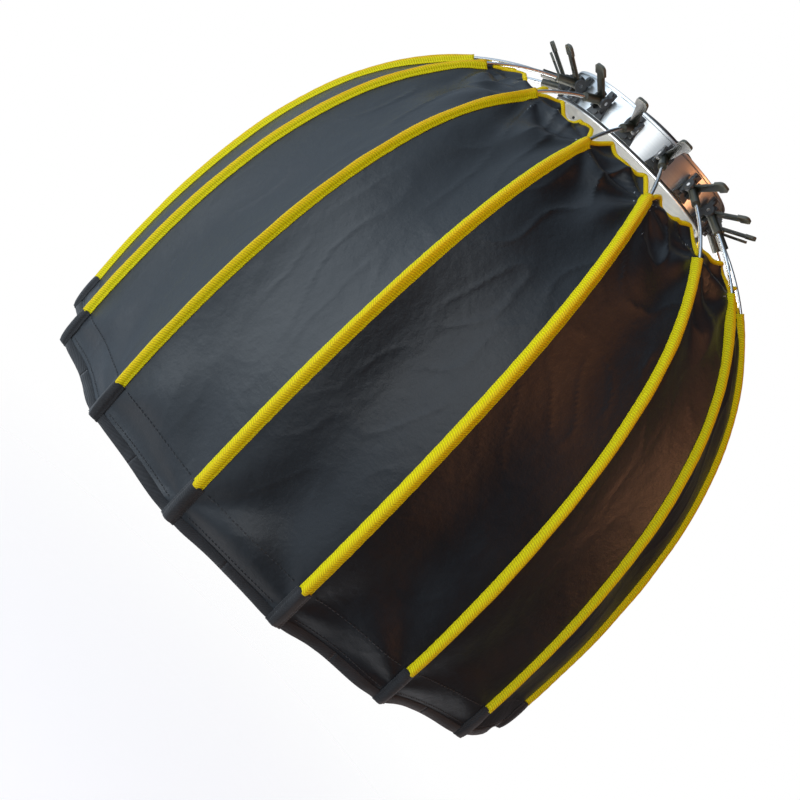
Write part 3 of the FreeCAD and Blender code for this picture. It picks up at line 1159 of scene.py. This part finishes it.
@dataclass
class RodSleeves:
    """Yellow sleeves over the rods and the black pockets that hold their tips."""
    gores: Gores
    finishes: Finishes
    flange: float = 0.0068
    bulge: float = 0.0046
    crown: float = 0.0031
    rise: float = 0.0010
    rows: int = 170
    arch: int = 14
    pocket_flange: float = 0.0086
    pocket_bulge: float = 0.0062
    pocket_rise: float = 0.0019
    pocket_crown: Pair = (0.0008, 0.0030)
    pocket_rows: int = 26
    skirt: float = 1.08
    seam: float = 0.0001
    start_lead: float = 0.003
    start_spread: Pair = (-0.004, 0.010)
    mouth: float = 0.28
    mouth_rows: float = 1.5
    mouth_limit: float = 1.12

    def widths(self, flange: float, bulge: float) -> list[float]:
        """Place across the sleeve of each point of an outline.

        Args:
            flange: half width of the sewn edges.
            bulge: half width of the tube over the rod.

        Returns:
            The places, from one sewn edge to the other.
        """
        inner = [-bulge * math.cos(math.pi * k / self.arch) for k in range(1, self.arch)]
        foot = bulge * self.skirt
        return [-flange, -flange, -foot, *inner, foot, flange, flange]

    def section(self, rod: int, s: float, flange: float, bulge: float, crown: float,
                rise: float) -> list[Vector]:
        """One closed outline of a sleeve lying on the cloth.

        Args:
            rod: number of the rod.
            s: distance from the hinge pin.
            flange: half width of the sewn edges.
            bulge: half width of the tube over the rod.
            crown: height of the tube above the rod's centreline.
            rise: thickness of the sewn edges.

        Returns:
            The outline's points.
        """
        line = self.gores.line
        half_gore = PITCH / 2 * float(line.at(s)[0])
        across = np.array(self.widths(flange, bulge))
        lift = np.full(len(across), rise)
        lift[0] = lift[-1] = self.seam
        top = crown + line.cloth_face
        for k in range(1, self.arch):
            lift[2 + k] = rise + (top - rise) * math.sin(math.pi * k / self.arch) ** 0.7
        on_cloth = self.gores.points(rod, s, across / half_gore, lift)
        return [Vector(p) for p in on_cloth]

    def sleeve(self, rod: int) -> Piece:
        """One yellow sleeve.

        Args:
            rod: number of the rod, from 0.

        Returns:
            The sleeve.
        """
        line = self.gores.line
        rng = np.random.default_rng(500 + rod)
        start = self.gores.notch_top - self.start_lead + rng.uniform(*self.start_spread)
        stations = np.linspace(start, line.length, self.rows + 1)
        slack = ripples(stations, stations * 0, rng, 8.0, 26.0)
        pucker = ripples(stations, stations * 0, rng, 60.0, 140.0)
        sections, uvs = [], []
        for i, s in enumerate(stations):
            mouth = 1 + self.mouth * math.exp(-i / self.mouth_rows)
            flange = self.flange * (1 + 0.03 * pucker[i])
            bulge = self.bulge * (1 + 0.09 * slack[i]) * min(mouth, self.mouth_limit)
            crown = self.crown * mouth + 0.0003 * slack[i] + 0.0001 * pucker[i]
            sections.append(self.section(rod, s, flange, bulge, crown, self.rise))
            uvs += [(y, s) for y in self.widths(flange, bulge)]
        return swept(f"rod_sleeve_{label(rod)}", sections, [self.finishes.sleeve], uvs, flip=True)

    def pocket(self, rod: int) -> Piece:
        """The black pocket over one rod tip, folded over the lip's edge.

        Args:
            rod: number of the rod, from 0.

        Returns:
            The pocket.
        """
        line = self.gores.line
        start, end = line.length - 0.002, line.end + 0.0020
        flat, full = self.pocket_crown
        sections, uvs = [], []
        for i in range(self.pocket_rows + 1):
            t = i / self.pocket_rows
            s = start + (end - start) * t
            puff = max(0.0, 1 - ((t - 0.42) / 0.55) ** 2) ** 0.6
            bulge = self.pocket_bulge * (0.85 + 0.15 * puff)
            sections.append(self.section(rod, s, self.pocket_flange, bulge, flat + full * puff,
                                         self.pocket_rise))
            uvs += [(y, s) for y in self.widths(self.pocket_flange, bulge)]
        return swept(f"tip_pocket_{label(rod)}", sections, [self.finishes.tape], uvs, flip=True)

    def make(self) -> None:
        """Build the sleeves and pockets."""
        for rod in range(ROD_COUNT):
            sleeve, pocket = self.sleeve(rod), self.pocket(rod)
            for piece in (sleeve, pocket):
                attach(piece, f"rod_arm_{label(rod)}")
        log.info("sleeves: %d yellow sleeves and tip pockets", ROD_COUNT)


@dataclass
class FrontDiffuser:
    """White front cloth with a black hook strip that sticks inside the lip."""
    finishes: Finishes
    rings: int = 44
    belly: float = 0.006
    strip: float = 0.020
    strip_wall: float = 0.0022
    pucker: float = 0.0012
    slack: float = 0.0010
    thickness: float = 0.0006
    sectors: int = ROD_COUNT * 10

    def outline(self, share: float, radius: float, turn: float) -> Pair:
        """A point on a many-sided ring that grows rounder towards its middle.

        Args:
            share: 0 at the middle to 1 at the edge.
            radius: the ring's largest radius.
            turn: angle round the lens axis.

        Returns:
            Its x and y.
        """
        step = (turn + PITCH / 2) % PITCH - PITCH / 2
        flat = math.cos(PITCH / 2) / math.cos(PITCH / 2 - abs(step))
        reach = radius * share * (1 - share ** 3 * (1 - flat))
        return reach * math.cos(turn), reach * math.sin(turn)

    def cloth_at(self, radius: float, level: float, share: float, turn: float) -> Triple:
        """A point of the cloth, bellied and puckered at its edge.

        Args:
            radius: the cloth's radius.
            level: the cloth's height.
            share: 0 at the middle to 1 at the edge.
            turn: angle round the lens axis.

        Returns:
            The point.
        """
        ripple = self.pucker * share ** 6 * math.sin(turn * 3 * ROD_COUNT)
        ripple += self.slack * share * math.sin(turn * 5 + share * 4)
        return (*self.outline(share, radius, turn), level + self.belly * (1 - share ** 2) + ripple)

    def edge_strip(self, radius: float, level: float) -> Piece:
        """The hook strip that stands up round the cloth's edge.

        Args:
            radius: the cloth's radius.
            level: the cloth's height.

        Returns:
            The strip.
        """
        inner = 1 - self.strip_wall / radius
        loop = [(inner, 0.0), (1.0, 0.0), (1.0, self.strip), (inner, self.strip)]
        sections, uvs = [], []
        for j in range(self.sectors + 1):
            turn = 2 * math.pi * j / self.sectors
            x, y = self.outline(1.0, radius, turn)
            sections.append([Vector((x * k, y * k, level + up)) for k, up in loop])
            uvs += [(up, turn * radius) for _, up in loop]
        return swept("diffuser_hook_strip", sections, [self.finishes.tape], uvs, capped=False, flip=True)

    def make(self) -> None:
        """Build the cloth and its edge strip."""
        low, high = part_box("front_diffuser")
        radius = high.x
        points, faces = disc(self.rings, self.sectors, self.thickness,
                             lambda share, turn: self.cloth_at(radius, low.z, share, turn))
        cloth = mesh_piece("diffuser_cloth", points, faces, [self.finishes.white])
        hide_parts("front_diffuser")
        strip = self.edge_strip(radius, low.z)
        for piece in (cloth, strip):
            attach(piece, "diffuser")
        log.info("front diffuser: %.0f mm across", 2000 * radius)


@dataclass
class InnerBaffle:
    """Inner baffle: white cloth, black hem and elastic straps to the lining."""
    finishes: Finishes
    rings: int = 26
    straps: int = 8
    sectors: int = ROD_COUNT * 8
    thickness: float = 0.0006
    pull: float = 0.022
    ripple: float = 0.0016
    hem_radius: float = 0.0024
    strap_width: float = 0.018
    strap_half_wall: float = 0.0006
    strap_overlap: float = 0.012
    strap_rise: float = 0.0026
    strap_wave: float = 0.0022
    strap_rows: int = 24

    def cloth_at(self, radius: float, level: float, share: float, turn: float) -> Triple:
        """A point of the cloth, pulled out at the straps and drawn in between them.

        Args:
            radius: the cloth's radius.
            level: the cloth's height.
            share: 0 at the middle to 1 at the edge.
            turn: angle round the lens axis.

        Returns:
            The point.
        """
        pull = 1 - self.pull * share ** 4 * (1 - math.cos(self.straps * turn)) / 2
        ripple = self.ripple * share ** 3 * math.sin(self.straps * turn * 2 + 1.0)
        reach = radius * share * pull
        return reach * math.cos(turn), reach * math.sin(turn), level + ripple

    def strap(self, number: int, radius: float, level: float, far: float) -> Piece:
        """One elastic strap.

        Args:
            number: number of the strap, from 0.
            radius: the cloth's radius.
            level: the cloth's height.
            far: distance of the strap's outer end from the lens axis.

        Returns:
            The strap.
        """
        turn = number * 2 * math.pi / self.straps
        out = Vector((math.cos(turn), math.sin(turn), 0))
        side = Vector((-math.sin(turn), math.cos(turn), 0))
        wall = self.strap_half_wall
        sections, uvs = [], []
        for i in range(self.strap_rows + 1):
            t = i / self.strap_rows
            reach = radius - self.strap_overlap + (far - radius + self.strap_overlap) * t
            rise = self.strap_rise * (1 - t) + self.strap_wave * math.sin(math.pi * t * 2) * t
            half = self.strap_width / 2 * (1 - 0.06 * math.sin(math.pi * t))
            centre = out * reach + Vector((0, 0, level + rise))
            loop = [(-half, -wall), (half, -wall), (half, wall), (-half, wall)]
            sections.append([centre + side * y + Vector((0, 0, z)) for y, z in loop])
            uvs += [(y, reach) for y, _ in loop]
        return swept(f"elastic_strap_{number + 1}", sections, [self.finishes.tape], uvs)

    def make(self) -> None:
        """Build the cloth, hem and straps."""
        low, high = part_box("inner_baffle")
        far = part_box("baffle_straps")[1].x
        radius, level = high.x, (low.z + high.z) / 2
        points, faces = disc(self.rings, self.sectors, self.thickness,
                             lambda share, turn: self.cloth_at(radius, level, share, turn))
        cloth = mesh_piece("baffle_cloth", points, faces, [self.finishes.white])
        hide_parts("inner_baffle")
        turns = [2 * math.pi * (j % self.sectors) / self.sectors for j in range(self.sectors + 1)]
        rim = [Vector(self.cloth_at(radius, level, 1.0, turn)) for turn in turns]
        hem = tube("baffle_hem", rim, self.hem_radius, self.finishes.tape)
        straps = [self.strap(number, radius, level, far) for number in range(self.straps)]
        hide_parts("baffle_straps")
        for piece in (cloth, hem, *straps):
            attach(piece, "baffle")
        log.info("inner baffle: %.0f mm across on %d straps", 2000 * radius, self.straps)


@dataclass
class Hub:
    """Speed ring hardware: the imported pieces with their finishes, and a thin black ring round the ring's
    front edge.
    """
    finishes: Finishes
    dark_edge_radius: float = 0.0014
    dark_edge_out: float = 0.0004
    dark_edge_rise: float = 0.0024
    dark_edge_steps: int = 128

    def paint(self, node: str, material: Material) -> None:
        """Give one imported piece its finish.

        Args:
            node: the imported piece's name.
            material: its finish.
        """
        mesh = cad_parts[node].data
        mesh.materials.clear()
        mesh.materials.append(material)

    def dark_edge(self) -> Piece:
        """Thin black ring round the speed ring's front edge.

        Returns:
            The black ring.
        """
        low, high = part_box("speed_ring")
        radius, height = high.x + self.dark_edge_out, low.z + self.dark_edge_rise
        turns = [2 * math.pi * k / self.dark_edge_steps for k in range(self.dark_edge_steps + 1)]
        path = [Vector((radius * math.cos(turn), radius * math.sin(turn), height)) for turn in turns]
        return tube("ring_dark_edge", path, self.dark_edge_radius, self.finishes.plate)

    def make(self) -> None:
        """Paint the hardware."""
        f = self.finishes
        finish_of = {"bayonet_insert": f.plate, "ring_retainer": f.insert, "retainer_screws": f.steel,
                     "back_plate": f.band, "speed_ring": f.band, "plate_screws": f.steel,
                     "hinge_brackets": f.plastic, "bracket_screws": f.plate, "hinge_pins": f.rod}
        for rod in range(ROD_COUNT):
            finish_of[f"rod_{label(rod)}"] = f.rod
            finish_of[f"lever_{label(rod)}"] = f.lever
        for node, material in finish_of.items():
            self.paint(node, material)
        dark_edge = self.dark_edge()
        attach(dark_edge, "ring")
        log.info("hub: %d packed pieces painted", len(finish_of))


# ---------------------------------------------------------------- studio

@dataclass(frozen=True)
class Camera:
    """The camera beside the canopy, rolled so that the lens axis slants across the frame."""
    azimuth: float = 80.2
    rise: float = -0.215
    distance: float = 1.317
    aim_height: float = -0.412
    roll: float = 44.4
    lens: float = 51.0
    film: float = 36.0
    clip: Pair = (0.05, 60.0)

    def make(self) -> Quaternion:
        """Build the camera, make it the scene's and hand back how it is turned.

        Returns:
            The camera's turn.
        """
        data = bpy.data.cameras.new("camera")
        data.lens = self.lens
        data.sensor_width = self.film
        data.clip_start, data.clip_end = self.clip
        camera = bpy.data.objects.new("camera", data)
        turn = math.radians(self.azimuth)
        camera.location = (self.distance * math.cos(turn), self.distance * math.sin(turn), self.rise)
        ahead = Vector((0, 0, self.aim_height)) - camera.location
        level = ahead.to_track_quat("-Z", "Y")
        camera.rotation_mode = "QUATERNION"
        camera.rotation_quaternion = level @ Quaternion((0, 0, 1), math.radians(self.roll))
        bpy.context.scene.collection.objects.link(camera)
        bpy.context.scene.camera = camera
        return camera.rotation_quaternion.copy()


@dataclass(frozen=True)
class Softlight:
    """One rectangular studio light, placed by the camera's own right, up and back."""
    name: str
    place: Triple
    size: Pair
    power: float
    colour: Triple

    def make(self, target: Vector, turn: Quaternion) -> None:
        """Build the light and aim it at the softbox.

        Args:
            target: the point it is aimed at.
            turn: the camera's turn.
        """
        data = bpy.data.lights.new(self.name, "AREA")
        data.shape = "RECTANGLE"
        data.size, data.size_y = self.size
        data.energy, data.color = self.power, self.colour
        light = bpy.data.objects.new(self.name, data)
        light.location = target + turn @ Vector(self.place)
        light.rotation_mode = "QUATERNION"
        ahead = target - light.location if any(self.place) else Vector((0, 0, 1))
        light.rotation_quaternion = ahead.to_track_quat("-Z", "Y")
        light.visible_camera = False
        bpy.context.scene.collection.objects.link(light)


@dataclass
class Studio:
    """Pale floor and soft light, cool from one side and warm from below on the other."""
    drop: float = 1.05
    fade_from: float = 0.9
    fade_to: float = 2.8
    glow_height: float = -0.24
    floor_sides: int = 96
    cool_side: Triple = (-0.62, 0.72, 0.30)
    warm_side: Triple = (0.88, -0.30, 0.36)
    dark: Triple = (0.030, 0.028, 0.030)
    cool: Triple = (0.74, 0.92, 1.12)
    warm: Triple = (0.90, 0.36, 0.15)

    def floor(self, base: float) -> None:
        """A pale disc well below the softbox, which fades out before its edge.

        Args:
            base: the floor's height.
        """
        steps, reach = self.floor_sides, self.fade_to * 1.1
        points = [(0, 0, base)]
        for k in range(steps):
            turn = 2 * math.pi * k / steps
            points.append((reach * math.cos(turn), reach * math.sin(turn), base))
        faces = [[0, 1 + k, 1 + (k + 1) % steps] for k in range(steps)]
        paper = StudioFloor(self.fade_from, self.fade_to).make()
        mesh_piece("studio_floor", points, faces, [paper])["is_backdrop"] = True

    def lobe(self, g: Graph, ray: Signal, toward: Vector, low: float, high: float) -> Signal:
        """How much a ray points towards a direction, from 0 to 1.

        Args:
            g: the graph to build in.
            ray: the ray's direction.
            toward: the lobe's middle.
            low: the cosine that gives 0.
            high: the cosine that gives 1.

        Returns:
            The amount.
        """
        cosine = g.node("ShaderNodeVectorMath", {"operation": "DOT_PRODUCT"},
                        {0: ray, 1: tuple(toward.normalized())}, "Value")
        return cosine.between(low, high)

    def world(self, turn: Quaternion) -> None:
        """White behind everything, with cool and warm sides for the light it gives.

        Args:
            turn: the camera's turn.
        """
        world = bpy.data.worlds.new("studio")
        world.use_nodes = True
        g = Graph.over(world.node_tree)
        ray = g.node("ShaderNodeTexCoord", output="Generated")
        cool = self.lobe(g, ray, turn @ Vector(self.cool_side), -0.30, 1.0)
        warm = self.lobe(g, ray, turn @ Vector(self.warm_side), 0.80, 0.99)
        dim = g.mix(cool, self.dark, self.cool)
        lit = g.mix(1.0, dim, g.mix(warm, (0.0, 0.0, 0.0), self.warm), Blend.ADD)
        seen = g.node("ShaderNodeLightPath", output="Is Camera Ray")
        background = g.node("ShaderNodeBackground", None,
                            {"Color": g.mix(seen, lit, (1.0, 1.0, 1.0)), "Strength": 1.0})
        output = g.tree.nodes.new("ShaderNodeOutputWorld")
        g.tree.links.new(background.socket, output.inputs[0])
        bpy.context.scene.world = world

    def make(self, base: float, target: Vector, turn: Quaternion) -> None:
        """Build the studio.

        Args:
            base: height of the softbox's lowest point.
            target: the point that lights aim at.
            turn: the camera's turn.
        """
        self.floor(base - self.drop)
        self.world(turn)
        lights = (
            Softlight("key_left", (-1.5, 1.5, 1.1), (1.5, 1.5), 16.0, (0.88, 0.95, 1.0)),
            Softlight("front_fill", (-0.2, 0.5, 2.2), (1.2, 1.2), 7.0, (1.0, 0.99, 0.97)),
            Softlight("warm_right", (1.5, -0.9, 0.5), (0.3, 0.5), 3.0, (1.0, 0.46, 0.22)),
        )
        for light in lights:
            light.make(target, turn)
        glow = Softlight("inside_glow", (0.0, 0.0, 0.0), (0.2, 0.2), 1.2, (1.0, 1.0, 1.0))
        glow.make(Vector((0, 0, self.glow_height)), Quaternion())
        bpy.context.scene.view_settings.view_transform = "Standard"


def main() -> None:
    """Build the softbox's looks in order."""
    cad_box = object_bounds()
    finishes = Finishes.make()
    line = RodLine.from_frame()
    gores = Gores(line)
    turn = Camera().make()
    Hub(finishes).make()
    CanopyCloth(gores, finishes).make()
    RodSleeves(gores, finishes).make()
    FrontDiffuser(finishes).make()
    InnerBaffle(finishes).make()
    centre = (cad_box[0] + cad_box[1]) / 2
    Studio().make(cad_box[0].z, centre, turn)


if __name__ == "__main__":
    main()
